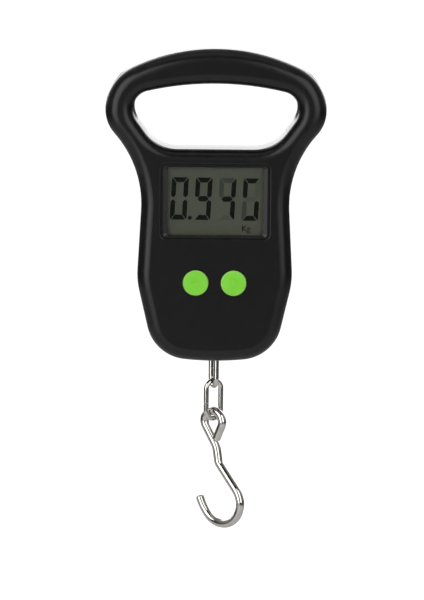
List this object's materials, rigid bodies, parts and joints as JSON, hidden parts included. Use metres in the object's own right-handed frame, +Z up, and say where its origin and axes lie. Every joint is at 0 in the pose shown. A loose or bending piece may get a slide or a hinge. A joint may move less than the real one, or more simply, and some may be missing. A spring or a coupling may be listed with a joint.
{
  "type": "digital fish scale",
  "caption": "Hand-held digital hanging scale with a finger opening, display, push buttons, load cell, chain links and a wire hook.",
  "frame": {"origin": "middle of the underside of the handle's top bar, where the hand bears, halfway through the thickness", "axes": "+Z up towards the handle bar, -Y out of the front face, +X to the right seen from the front"},
  "size_m": [0.0868, 0.0246, 0.1935],
  "materials": {
    "casing_front": "satin black ABS",
    "casing_rear": "gloss black ABS",
    "clear_window": "clear acrylic",
    "display_glass": "reflective LCD, grey-green",
    "white_plastic": "moulded",
    "elastomer": "layered",
    "circuit_board": "solder mask",
    "black_resin": "epoxy blob",
    "component": "ceramic",
    "green_button": "moulded green",
    "switch_plastic": "moulded",
    "cell_aluminium": "machined",
    "gauge_foil": "polyimide foil",
    "sealant": "silicone",
    "plated_steel": "zinc plated",
    "battery_jacket": "plain metal jacket",
    "spring_steel": "nickel plated",
    "red_insulation": "PVC",
    "white_insulation": "PVC",
    "chrome_wire": "bright nickel-chrome"
  },
  "bodies": {
    "housing": {"front_shell": "casing_front", "rear_shell": "casing_rear", "window_lens": "clear_window", "lcd_panel": "display_glass", "lcd_holder": "white_plastic", "zebra_strip": "elastomer", "main_board": "circuit_board", "controller_chip": "black_resin", "board_components": "component", "power_switch": "switch_plastic", "unit_switch": "switch_plastic", "load_cell": "cell_aluminium", "strain_gauges": "gauge_foil", "gauge_sealant": "sealant", "cell_bracket": "plated_steel", "case_screws": "plated_steel", "board_screws": "plated_steel", "cell_screws": "plated_steel", "bracket_screws": "plated_steel", "upper_battery": "battery_jacket", "lower_battery": "battery_jacket", "battery_springs": "spring_steel", "battery_contacts": "spring_steel", "load_cell_leads": "white_insulation", "battery_leads": "red_insulation"},
    "power_button_body": {"power_button": "green_button", "power_plunger": "switch_plastic"},
    "unit_button_body": {"unit_button": "green_button", "unit_plunger": "switch_plastic"},
    "door": {"battery_door": "casing_rear"},
    "upper_chain_link": {"upper_link": "chrome_wire"},
    "lower_chain_link": {"lower_link": "chrome_wire"},
    "hook_body": {"hook": "chrome_wire"}
  },
  "joints": [
    {"name": "power_press", "type": "slide", "parent": "housing", "child": "power_button_body", "axis": [0, 1, 0], "range_m": [0, 0.0006], "stiffness_N_per_m": 2500},
    {"name": "unit_press", "type": "slide", "parent": "housing", "child": "unit_button_body", "axis": [0, 1, 0], "range_m": [0, 0.0006], "stiffness_N_per_m": 2500},
    {"name": "battery_door_tip", "type": "hinge", "parent": "housing", "child": "door", "pos_m": [0, 0.012, -0.05805], "axis": [-1, 0, 0], "range_deg": [0, 75]},
    {"name": "upper_link_swing", "type": "hinge", "parent": "housing", "child": "upper_chain_link", "pos_m": [0, 0, -0.1072], "axis": [-0.9511, -0.309, 0], "range_deg": [-20, 20]},
    {"name": "lower_link_swing", "type": "hinge", "parent": "upper_chain_link", "child": "lower_chain_link", "pos_m": [0, 0, -0.12305], "axis": [0.5, -0.866, 0], "range_deg": [-60, 60]},
    {"name": "hook_swing", "type": "hinge", "parent": "lower_chain_link", "child": "hook_body", "pos_m": [0, 0, -0.13655], "axis": [-0.5736, -0.8192, 0], "range_deg": [-75, 75]}
  ]
}
